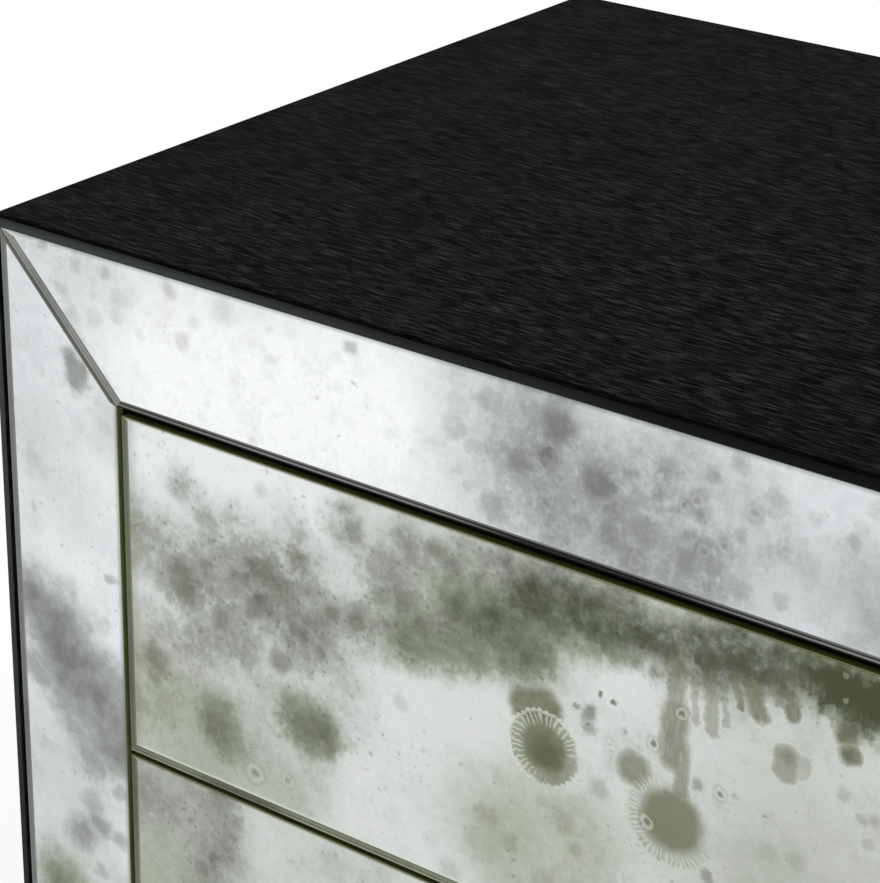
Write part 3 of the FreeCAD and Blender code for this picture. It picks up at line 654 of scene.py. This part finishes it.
LEFT_STILE = ON_STILE | {
    "seed": 2,
    "lean": (0.32, 0.0, 0.0),
    "torn": 5.0,
    "rims": [("X", -264.4, -262.0, 0.6, tone(110, 114, 96))],
    "zones": [
        ((-288, 560), (-276, 584), 26, 0.9, tone(236, 240, 241)),
        ((-300, 440), (-290, 420), 26, 0.7, tone(190, 194, 192)),
        ((-296, 380), (-290, 360), 24, 0.8, tone(176, 180, 170)),
    ],
    "grey": [
        ((-285, 641), (-284, 636), 5.5, 0.88),
        ((-318, 520), (-306, 508), 13, 1.0),
        ((-304, 510), (-285, 485), 17, 1.0),
        ((-282, 494), (-266, 462), 14, 1.05),
        ((-298, 476), (-282, 446), 8, 0.6),
        ((-317, 488), (-311, 482), 7, 0.6),
        ((-312, 610), (-285, 570), 14, 0.2),
        ((-304, 364), (-292, 350), 15, 0.75),
        ((-306, 300), (-280, 250), 16, 0.75),
        ((-300, 190), (-280, 150), 14, 0.6),
    ],
    "olive": [((-304, 366), (-292, 354), 17, 0.8), ((-300, 225), (-292, 210), 10, 0.6)],
    "spots": [
        (-268, 545, 2.8, 0.5), (-313, 568, 2, 0.3), (-284, 425, 7, 0.45), (-291, 407, 9.5, 0.7),
        (-279, 416, 7.5, 0.65), (-285, 411, 6, 0.45), (-266, 437, 4.5, 0.5), (-268, 412, 5.5, 0.5),
        (-280, 390, 4.5, 0.4), (-307, 391, 4, 0.3), (-273, 521, 5, 0.25), (-296, 554, 1.2, 0.3),
    ],
}
RIGHT_STILE = ON_STILE | {
    "seed": 3,
    "lean": (-0.32, 0.0, 0.0),
    "spotted": 0.3,
    "grey": [
        ((276, 560), (306, 500), 15, 0.85),
        ((290, 480), (300, 450), 10, 0.6),
        ((306, 330), (276, 280), 17, 0.8),
        ((290, 170), (296, 150), 14, 0.7),
    ],
    "olive": [((300, 420), (286, 404), 8, 0.7)],
}
BOTTOM_RAIL = ON_FRAME | {
    "seed": 4,
    "spotted": 0.3,
    "zones": [((-60, 100), (80, 95), 40, 0.8, BLUE_GREY), ((-240, 95), (-200, 100), 36, 0.8, SOFT_WHITE)],
    "grey": [
        ((-180, 105), (-130, 92), 16, 0.7),
        ((40, 110), (120, 96), 20, 0.75),
        ((230, 90), (270, 110), 12, 0.6),
    ],
    "olive": [((-40, 88), (10, 84), 8, 0.65)],
}
OLIVE_RIM = tone(96, 102, 52)
HIGHLIGHT_LINE = tone(214, 220, 206)


def drawer_rims(low):
    """Olive upper edge of a drawer mirror that starts at a height, and a painted highlight line at its foot.
    """
    return [("Z", low + 161.3, low + 162.8, 0.6, OLIVE_RIM), ("Z", low + 6.2, low + 4.6, 0.6, HIGHLIGHT_LINE)]


BLOOM = {
    "ribs": 34, "begins": 0.5, "ring": 0.7, "fill": 0.3, "ribbed": 0.45,
    "rim_depth": 0.5, "core_depth": 0.8, "heart": 0.5, "slope": (0.95, 0.55, 1.0),
}
DRAWER_1 = ON_DRAWER | {
    "seed": 5,
    "curdled": 1.7,
    "rims": [*drawer_rims(462.4), ("X", -249.0, -255.6, 0.35, OLIVE_MID)],
    "zones": [
        ((-240, 612), (-160, 622), 22, 1.0, tone(236, 239, 239)),
        ((-112, 528), (-84, 548), 36, 0.9, tone(222, 225, 223)),
        ((-12, 583), (-8, 588), 14, 0.9, tone(222, 225, 223)),
        ((-141, 592), (-138, 588), 12, 0.7, tone(214, 219, 216)),
        ((-250, 500), (-216, 482), 30, 0.95, tone(154, 160, 139)),
        ((-214, 480), (-168, 476), 18, 0.85, tone(172, 178, 166)),
        ((-63, 505), (-60, 498), 22, 0.8, OLIVE_WASH),
        ((-44, 520), (-18, 512), 18, 0.6, OLIVE_WASH),
        ((-33, 497), (-40, 478), 20, 0.6, OLIVE_WASH),
        ((84, 546), (120, 520), 40, 0.9, tone(186, 190, 182)),
        ((60, 500), (200, 490), 40, 1.0, tone(180, 184, 175)),
    ],
    "grey": [
        ((-250, 574), (-226, 566), 16, 0.5),
        ((-222, 560), (-190, 566), 18, 0.7),
        ((-194, 578), (-168, 580), 17, 0.75),
        ((-180, 562), (-160, 556), 15, 0.75),
        ((-150, 566), (-128, 572), 11, 0.6),
        ((-226, 600), (-208, 590), 9, 0.35),
        ((-172, 604), (-164, 596), 9, 0.4),
        ((-142, 612), (-136, 603), 9, 0.5),
        ((-118, 596), (-98, 586), 16, 0.66),
        ((-112, 612), (-84, 610), 9, 0.75),
        ((-240, 530), (-196, 536), 13, 0.55),
        ((-232, 512), (-180, 524), 12, 0.35),
        ((-190, 502), (-150, 526), 18, 0.3),
        ((-84, 616), (-10, 618), 9, 0.75),
        ((6, 609), (52, 616), 12, 1.1),
    ],
    "olive": [
        ((-110, 574), (-80, 576), 13, 0.8),
        ((-80, 594), (-56, 588), 17, 0.98),
        ((-56, 604), (-16, 608), 14, 1.03),
        ((-209, 499), (-206, 489), 11.5, 0.78),
        ((-162, 512), (-157, 511), 13, 0.87),
        ((-16, 612), (14, 612), 11, 0.78),
        ((20, 611), (58, 618), 11, 0.85),
        ((62, 619), (88, 619), 7.5, 1.1),
        ((80, 614), (104, 612), 10.5, 1.5),
        ((84, 607), (96, 606), 6, 1.2),
        ((16, 602), (25, 600), 5.5, 0.6),
        ((100, 612), (150, 612), 13, 1.05),
        ((150, 612), (214, 604), 15, 1.0),
    ],
    "fingers": [
        ((12, 604), (14, 578), 4.2, 0.66),
        ((13, 582), (13.5, 562), 6.2, 0.78),
        ((17, 566), (18, 550), 3.8, 0.68),
        ((20, 598), (22, 580), 2.0, 0.45),
        ((26, 602), (29, 580), 3.3, 0.55),
        ((32, 600), (35, 584), 1.6, 0.45),
        ((36, 606), (40, 594), 2.0, 0.8),
        ((40, 612), (48, 593), 4.0, 0.85),
        ((51, 608), (55, 601), 2.2, 0.6),
        ((57, 612), (61, 598), 3.5, 0.85),
        ((66, 616), (73, 609), 5.0, 0.6),
        ((88, 612), (92, 605), 5.0, 0.7),
    ],
    "discs": [
        ((-52, 561), (-44, 563), 9.2, 0.96),
        ((-3, 551), (-3, 551), 8.4, 0.8),
        ((60, 580), (60, 574), 6.0, 0.62),
        ((67, 580), (67, 576), 4.0, 0.35),
        ((83, 598), (83, 598), 6.3, 0.95),
        ((84.5, 590), (84.5, 590), 5.3, 0.9),
    ],
    "spots": [
        (-228, 600, 6, 0.35), (-213, 590, 5.5, 0.5), (-224, 556, 9.5, 0.65), (-234, 548, 3.2, 0.5),
        (-184, 577, 7, 0.5), (-166, 588, 7.5, 0.6), (-137, 609, 7, 0.62), (-135, 569, 4.8, 0.65),
        (-174, 538, 6.5, 0.72), (-153, 548, 4.2, 0.45), (-243, 515, 8.5, 0.7), (-244, 506, 5, 0.45),
        (-206, 547, 5.6, 0.55), (-147, 569, 4.2, 0.55), (-209, 495, 8, 0.35), (-158, 511, 8, 0.45),
        (-148, 506, 5, 0.35), (-112, 540, 4, 0.25), (-184, 614, 3.5, 0.25), (-124, 585, 6, 0.45),
        (-96, 615, 6, 0.5), (-164, 599, 4, 0.35), (-142, 618, 4, 0.3), (-171, 570, 7, 0.45),
        (-189, 558, 5, 0.35), (-24, 568, 4, 0.75), (-23, 562, 3, 0.5), (-18, 536, 5, 0.4),
        (25, 554, 2.8, 0.55), (31, 516, 2.8, 0.6), (60, 580, 3, 0.5), (82, 598, 3.6, 0.75),
        (84, 590, 2.4, 0.8), (56, 537, 5, 0.2), (68, 538, 4, 0.2), (84, 573, 3, 0.3),
        (92, 566, 2.4, 0.35), (96, 568, 3, 0.3), (95, 556, 2.6, 0.25), (-19, 577, 1.3, 0.9),
        (-13, 576, 1.3, 0.9), (-30, 569, 1.6, 0.7), (-4, 596, 3, 0.4), (3, 595, 3, 0.45),
        (-8, 566, 1.5, 0.5), (-112, 588, 6, 0.5), (-104, 578, 4, 0.45), (-68, 504, 6, 0.3),
        (-57, 496, 5, 0.25), (-34, 516, 5.5, 0.28), (-43, 521, 4, 0.22), (-26, 505, 4, 0.22),
        (-41, 485, 6, 0.25), (-76, 491, 5, 0.2), (-86, 471, 7, 0.25),
    ],
    "eyes": [
        (4, 530, 3, 1), (16, 582, 2.6, 1), (34, 554, 2.6, 1), (5, 565, 2.6, 1), (80, 621, 1.4, 0.5),
        (81, 611, 1.2, 0.5), (-188, 478, 4.6, 0.7), (-170, 481, 3.2, 0.5),
    ],
    "blooms": [
        BLOOM | {
            "x": -43.5, "z": 545, "core": 10, "rim": 16, "open": -50,
            "begins": 0.85, "ring": 0.95, "fill": 0.8,
        },
        BLOOM | {
            "x": 15, "z": 534.5, "core": 14, "rim": 20, "ribs": 52, "open": 45, "ring": 0.5, "ribbed": 0.35,
            "rim_depth": 0.05, "core_depth": 0.0, "heart": 0.0, "fill": 0.0, "slope": (0.86, 0.7, 0.92),
        },
        BLOOM | {"x": 165, "z": 540, "core": 12, "rim": 19, "open": 150},
    ],
}
DRAWER_2 = ON_DRAWER | {
    "seed": 6,
    "spotted": 0.3,
    "rims": drawer_rims(297.3),
    "zones": [
        ((-244, 440), (-230, 410), 26, 1.1, tone(160, 164, 155)),
        ((-244, 400), (-220, 380), 22, 0.7, OLIVE_WASH),
        ((0, 330), (40, 320), 24, 0.7, OLIVE_WASH),
    ],
    "grey": [
        ((-254, 448), (-216, 450), 18, 0.65),
        ((-208, 455), (-218, 412), 13, 0.85),
        ((-120, 410), (-50, 395), 18, 0.7),
        ((90, 380), (170, 350), 22, 0.75),
    ],
    "olive": [((-190, 330), (-120, 312), 16, 0.85), ((60, 440), (190, 446), 12, 0.9)],
    "spots": [(150, 400, 8, 0.6), (-20, 440, 5, 0.5), (40, 410, 3, 0.6), (-150, 370, 9, 0.6)],
    "eyes": [(-100, 360, 3, 1), (140, 420, 2.4, 1)],
    "blooms": [
        BLOOM | {"x": -60, "z": 350, "core": 11, "rim": 18, "ribs": 40, "open": 30},
        BLOOM | {"x": 110, "z": 410, "core": 9, "rim": 15, "open": 200, "rim_depth": 0.3, "core_depth": 0.4},
    ],
}
DRAWER_3 = ON_DRAWER | {
    "seed": 7,
    "spotted": 0.3,
    "rims": drawer_rims(132.2),
    "zones": [((-60, 170), (0, 160), 26, 0.7, OLIVE_WASH), ((200, 260), (230, 250), 20, 0.6, OLIVE_WASH)],
    "grey": [
        ((-230, 270), (-150, 240), 20, 0.75),
        ((20, 280), (110, 262), 18, 0.7),
        ((180, 170), (240, 190), 20, 0.75),
    ],
    "olive": [((-120, 160), (-40, 150), 14, 0.9), ((120, 200), (170, 220), 16, 0.9)],
    "spots": [(-10, 220, 8, 0.6), (60, 240, 5, 0.5), (-90, 260, 4, 0.6), (200, 230, 6, 0.6)],
    "eyes": [(-140, 230, 3, 1), (90, 180, 2.4, 1)],
    "blooms": [
        BLOOM | {"x": -180, "z": 200, "core": 12, "rim": 19, "ribs": 42, "open": -120},
        BLOOM | {
            "x": 60, "z": 200, "core": 10, "rim": 17, "ribs": 36, "open": 60,
            "rim_depth": 0.3, "core_depth": 0.4,
        },
    ],
}

# Bevels of each kind of pane: the width of the bevel on each side, and the brightness of its steps
# from the edge inwards on the sides that turn away from the light, a painted reflection and shade set
# by which way each facet faces. Other sides match the face. A lower bevel's painted reflection is
# darker round a place x, as far as a reach, by a depth for each step.
RAIL_BEVEL = {
    "tint": (1.0, 1.01, 0.99),
    "width": {"below": 3.6, "above": 2.0, "mitre": 4.6},
    "tones": {"below": (26, 128, 54, 112), "mitre": (150, 122, 146, 122)},
    "dim": (-30, 80, (0.8, 0.9, 0.85, 0.2)),
}
STILE_BEVEL = {
    "tint": (1.0, 1.01, 0.98),
    "width": {"left": 4.1, "right": 3.0, "mitre": 1.3},
    "tones": {"left": (116, 109, 112, 126), "mitre": (92, 92, 106, 122)},
}
DRAWER_BEVEL = {
    "tint": (0.98, 1.02, 0.87),
    "width": {"below": 4.3, "above": 0.9, "left": 4.0, "right": 3.0},
    "tones": {"left": (106, 100, 104, 124), "below": (148, 108, 128, 116)},
    "dim": (-196, 34, (0.5, 0.4, 0.45, 0.3)),
}


def bevel_steps(name, kind):
    """The materials of a bevel's steps, from the edge inwards."""
    return [bevel_silver(f"{name}_bevel_{step + 1}", kind, step) for step in range(BEVEL_STEPS)]


def side_of(along):
    """Which way the bevel along an edge turns, for an edge direction (x, z) going round against the clock."""
    if along.x > STRAIGHT:
        return "below"
    if along.x < -STRAIGHT:
        return "above"
    if along.y > STRAIGHT:
        return "right"
    return "left" if along.y < -STRAIGHT else "mitre"


def inset(outline, distances):
    """A convex outline in (x, z), moved in from each edge by that edge's distance."""
    lines = []
    for first, second, distance in zip(outline, outline[1:] + outline[:1], distances):
        along = (second - first).normalized()
        inward = Vector((-along.y, along.x))
        lines.append((first + inward * distance, along))
    corners = []
    for (place, along), (next_place, next_along) in zip(lines[-1:] + lines[:-1], lines):
        turn = along.x * next_along.y - along.y * next_along.x
        gap = next_place - place
        corners.append(place + along * ((gap.x * next_along.y - gap.y * next_along.x) / turn))
    return corners


def pane_outline(node):
    """The corners (x, z) of a pane's back face, going round against the clock as seen from the front."""
    points = [v.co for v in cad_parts[node].data.vertices]
    back = max(point.y for point in points)
    found = {(round(point.x, 5), round(point.z, 5)) for point in points if back - point.y < SAME_PLACE}
    middle = Vector((sum(x for x, _ in found), sum(z for _, z in found))) / len(found)
    ordered = sorted(found, key=lambda corner: math.atan2(corner[1] - middle.y, corner[0] - middle.x))
    return [Vector(corner) * MM for corner in ordered]


def bevelled_pane(node, body, face, kind, steps):
    """Glass with a stepped ground bevel, small arrises and a painted back, in place of a plain pane."""
    outline = pane_outline(node)
    count = len(outline)
    sides = [side_of((outline[(i + 1) % count] - outline[i]).normalized()) for i in range(count)]
    widths = [kind["width"][side] for side in sides]
    rings = [
        ([ARRIS] * count, GLASS_BACK),
        ([0.0] * count, GLASS_BACK - ARRIS),
        ([0.0] * count, FRONT + BEVEL_DEPTH + ARRIS),
    ]
    for step in range(BEVEL_STEPS + 1):
        share = step / BEVEL_STEPS
        start = 0.0 if step else 0.5 * ARRIS
        rings.append(([start + share * width for width in widths], FRONT + BEVEL_DEPTH * (1 - share)))
    materials = [backing, edge, edge, edge, *steps, face]
    face_place = len(materials) - 1
    first_bevel = face_place - BEVEL_STEPS
    shape = bmesh.new()
    loops = []
    for distances, y in rings:
        corners = inset(outline, distances)
        loops.append([shape.verts.new((c.x / MM, y / MM, c.y / MM)) for c in corners])
    shape.faces.new(loops[0]).material_index = 0
    for corner in range(count):
        after = (corner + 1) % count
        plain = sides[corner] not in kind["tones"]
        for level in range(1, len(loops)):
            below, above = loops[level - 1], loops[level]
            quad = shape.faces.new((below[corner], below[after], above[after], above[corner]))
            quad.material_index = face_place if plain and level >= first_bevel else level
    shape.faces.new(loops[-1]).material_index = face_place
    bmesh.ops.recalc_face_normals(shape, faces=shape.faces)
    mesh = bpy.data.meshes.new(node + "_glass")
    shape.to_mesh(mesh)
    shape.free()
    for material in materials:
        mesh.materials.append(material)
    piece = add_object(node + "_glass", mesh)
    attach(piece, body)
    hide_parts(node)


def dress(material, *nodes):
    """Gives CAD nodes a material."""
    for node in nodes:
        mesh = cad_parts[node].data
        mesh.materials.clear()
        mesh.materials.append(material)


def soften(width, *nodes):
    """Small rounded arrises on sharp CAD edges, width in millimetres."""
    for node in nodes:
        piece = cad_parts[node]
        weld = piece.modifiers.new("weld", "WELD")
        weld.merge_threshold = SAME_PLACE
        bevel = piece.modifiers.new("arris", "BEVEL")
        bevel.width = width / MM
        bevel.segments = 2
        bevel.limit_method = "ANGLE"
        bevel.angle_limit = math.radians(40)
        bevel.harden_normals = True


backing = backing_paint()
edge = glass_edge()
rail_steps = bevel_steps("rail", RAIL_BEVEL)
stile_steps = bevel_steps("stile", STILE_BEVEL)
drawer_steps = bevel_steps("drawer", DRAWER_BEVEL)
for name, look, kind, steps in (
    ("top_rail", TOP_RAIL, RAIL_BEVEL, rail_steps),
    ("bottom_rail", BOTTOM_RAIL, RAIL_BEVEL, rail_steps),
    ("left_stile", LEFT_STILE, STILE_BEVEL, stile_steps),
    ("right_stile", RIGHT_STILE, STILE_BEVEL, stile_steps),
):
    bevelled_pane(name + "_mirror", "case", antique_mirror(name + "_silver", look), kind, steps)
for number, look in enumerate((DRAWER_1, DRAWER_2, DRAWER_3), 1):
    drawer = f"drawer_{number}"
    silver = antique_mirror(drawer + "_silver", look)
    bevelled_pane(drawer + "_mirror", drawer, silver, DRAWER_BEVEL, drawer_steps)

oak_top = brushed_oak("brushed_oak_top", X, on_top=True)
oak_wide = brushed_oak("brushed_oak_wide", X)
oak_deep = brushed_oak("brushed_oak_deep", Y)
oak_tall = brushed_oak("brushed_oak_tall", Z)
board = black_board()
pine = pale_wood("pine", Z, None, tone(214, 186, 142), tone(186, 150, 102))
birch_side = pale_wood("birch_side", Y, X, *BIRCH)
birch_end = pale_wood("birch_end", X, Y, *BIRCH)
birch_floor = pale_wood("birch_floor", X, None, tone(224, 204, 172), tone(204, 180, 142))
zinc = plated_steel("zinc_steel", tone(206, 208, 212), tone(150, 153, 158), 5.0, 0.28)
bearing = plated_steel("bearing_steel", tone(190, 191, 194), tone(120, 121, 124), 3.0, 0.18)
screw = plated_steel("screw_steel", tone(190, 176, 132), tone(140, 126, 86), 1.5, 0.3)
black_plastic = moulded_plastic("black_plastic", tone(34, 34, 35), tone(20, 20, 21))
grey_plastic = moulded_plastic("grey_plastic", tone(138, 140, 142), tone(112, 114, 116))

dress(oak_top, "top_panel")
dress(oak_wide, "bottom_panel", "plinth_long_rails")
dress(oak_tall, "left_side_panel", "right_side_panel")
dress(oak_deep, "plinth_short_rails")
dress(board, "back_panel", "divider_rails", "face_frame_top_rail", "face_frame_bottom_rail")
dress(board, "face_frame_left_stile", "face_frame_right_stile")
dress(pine, "runner_posts", "plinth_corner_blocks")
dress(black_plastic, "latch_housings", "floor_glides")
dress(screw, "back_panel_screws")
for number in (1, 2, 3):
    drawer = f"drawer_{number}_"
    dress(board, drawer + "front_panel")
    dress(birch_side, drawer + "box_sides")
    dress(birch_end, drawer + "box_front", drawer + "box_back")
    dress(birch_floor, drawer + "box_bottom")
    dress(screw, drawer + "front_screws")
    dress(zinc, drawer + "case_runners", drawer + "middle_runners", drawer + "box_runners")
    dress(bearing, drawer + "case_ball_cages", drawer + "box_ball_cages")
    dress(grey_plastic, drawer + "latch_plunger")
soften(0.5, "top_panel", "left_side_panel", "right_side_panel", "plinth_long_rails", "plinth_short_rails")


# Camera, floor and light

CAMERA_AT = (0.4162, -0.9628, 1.0738)
AZIMUTH = 34.93
ELEVATION = 24.79
ROLL = 1.514
FOCAL_PIXELS = 2600.0
LONG_SIDE_PIXELS = 883.0
SENSOR = 36.0
FLOOR_REACH = 40.0
FLOOR_GREY = (0.8, 0.8, 0.8, 1.0)
FLOOR_GLOW = 0.25
WORLD_LEVEL = 0.75
WHITE = (1.0, 1.0, 1.0, 1.0)
KEY_PLACE = (-1.6, -1.9, 2.6)
KEY_STRENGTH = 0.85
KEY_SPREAD = 60.0


def add_camera():
    around, above, roll = (math.radians(angle) for angle in (AZIMUTH, ELEVATION, ROLL))
    right = Vector((math.cos(around), math.sin(around), 0.0))
    up = Vector((-math.sin(around) * math.sin(above), math.cos(around) * math.sin(above), math.cos(above)))
    back = Vector((math.sin(around) * math.cos(above), -math.cos(around) * math.cos(above), math.sin(above)))
    turned_right = right * math.cos(roll) + up * math.sin(roll)
    turned_up = up * math.cos(roll) - right * math.sin(roll)
    lens = bpy.data.cameras.new("camera")
    lens.sensor_width = SENSOR
    lens.lens = SENSOR * FOCAL_PIXELS / LONG_SIDE_PIXELS
    lens.clip_start = 0.01
    camera = add_object("camera", lens)
    turn = Matrix((turned_right, turned_up, back)).transposed().to_4x4()
    camera.matrix_world = Matrix.Translation(CAMERA_AT) @ turn
    bpy.context.scene.camera = camera


def seen_rays(tree):
    """1 for rays that show a surface: from the camera, off gloss or through glass."""
    path = tree.nodes.new("ShaderNodeLightPath")
    seen = path.outputs["Is Camera Ray"]
    for kind in ("Is Glossy Ray", "Is Transmission Ray"):
        either = tree.nodes.new("ShaderNodeMath")
        either.operation = "MAXIMUM"
        tree.links.new(seen, either.inputs[0])
        tree.links.new(path.outputs[kind], either.inputs[1])
        seen = either.outputs[0]
    return seen


def add_floor():
    """A wide pale floor that keeps the object's shadow; where it is seen, a little glow lifts it to white."""
    mesh = bpy.data.meshes.new("floor")
    corners = [(x * FLOOR_REACH, y * FLOOR_REACH, 0.0) for x, y in ((-1, -1), (1, -1), (1, 1), (-1, 1))]
    mesh.from_pydata(corners, [], [(0, 1, 2, 3)])
    floor = add_object("floor", mesh)
    graph = Graph("floor_paper")
    glow = graph.product(seen_rays(graph.tree), FLOOR_GLOW)
    paper = graph.finish(
        Base_Color=FLOOR_GREY, Roughness=1.0, Specular_IOR_Level=0.0,
        Emission_Color=WHITE, Emission_Strength=glow,
    )
    mesh.materials.append(paper)


def add_world():
    """White where it is seen, and a plainer level where it only lights."""
    world = bpy.data.worlds.new("studio")
    bpy.context.scene.world = world
    world.use_nodes = True
    tree = world.node_tree
    level = tree.nodes.new("ShaderNodeMapRange")
    level.inputs["To Min"].default_value = WORLD_LEVEL
    level.inputs["To Max"].default_value = 1.0
    tree.links.new(seen_rays(tree), level.inputs["Value"])
    background = tree.nodes["Background"]
    background.inputs["Color"].default_value = WHITE
    tree.links.new(level.outputs[0], background.inputs["Strength"])


def add_sun(name, place, strength, spread):
    """A distant soft lamp that shines from a place towards the middle of the object."""
    data = bpy.data.lights.new(name, "SUN")
    data.energy = strength
    data.angle = math.radians(spread)
    lamp = add_object(name, data)
    lamp.location = place
    lamp.rotation_euler = (-Vector(place)).to_track_quat("-Z", "Y").to_euler()
    lamp.visible_glossy = False


add_camera()
add_floor()
add_world()
add_sun("key_lamp", KEY_PLACE, KEY_STRENGTH, KEY_SPREAD)
bpy.context.scene.view_settings.view_transform = "Standard"
